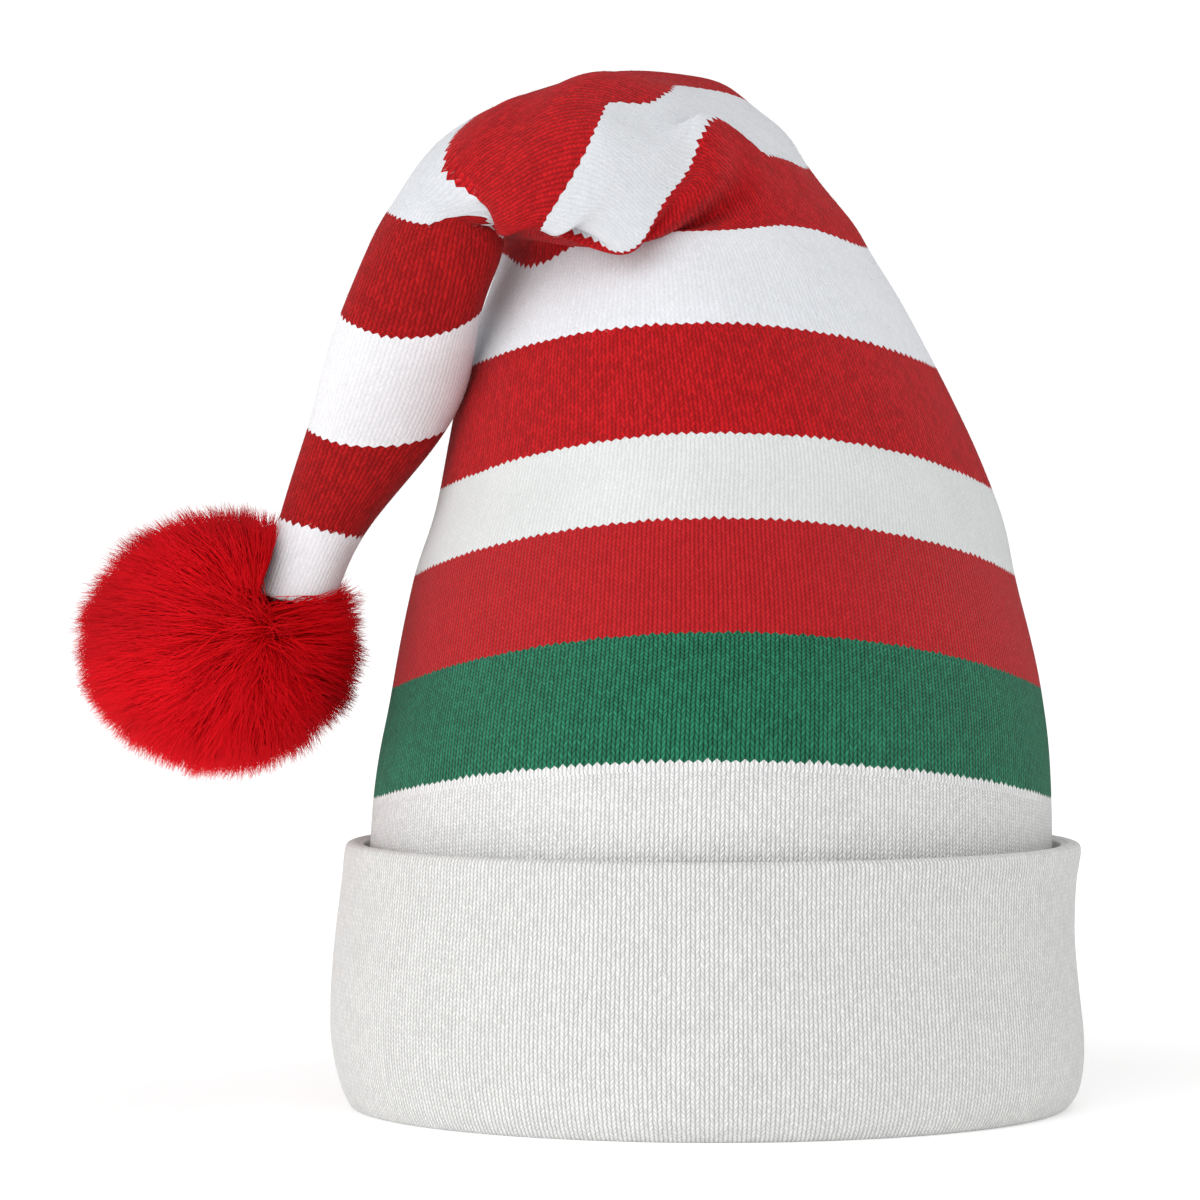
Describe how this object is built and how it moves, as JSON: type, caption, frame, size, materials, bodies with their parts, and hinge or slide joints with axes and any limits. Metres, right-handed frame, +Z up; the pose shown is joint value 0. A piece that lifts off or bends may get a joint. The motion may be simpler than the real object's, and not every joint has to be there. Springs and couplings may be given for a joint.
{
  "type": "knitted stocking hat",
  "caption": "Striped knitted stocking hat with a turned-up cuff; its long top folds over and hangs as a tail that ends in a fur pompom.",
  "frame": {"origin": "On the floor under the middle of the hat's bounding box; the cuff's own axis stands 32 mm to the right of it, because the tail and pompom hang to the left.", "axes": "+Z up through the hat, +X to the right of the front view, away from the pompom, +Y to the back, so -Y is the side that the picture shows."},
  "size_m": [0.2596, 0.1956, 0.2708],
  "materials": {
    "striped_knit": "stockinette knit in red, white and green yarn, matte with a soft sheen",
    "white_knit": "fine white knit, matte",
    "red_fur": "long soft red fur"
  },
  "bodies": {
    "root": {"crown": "striped_knit", "cuff": "white_knit", "pompom": "red_fur"}
  },
  "joints": []
}
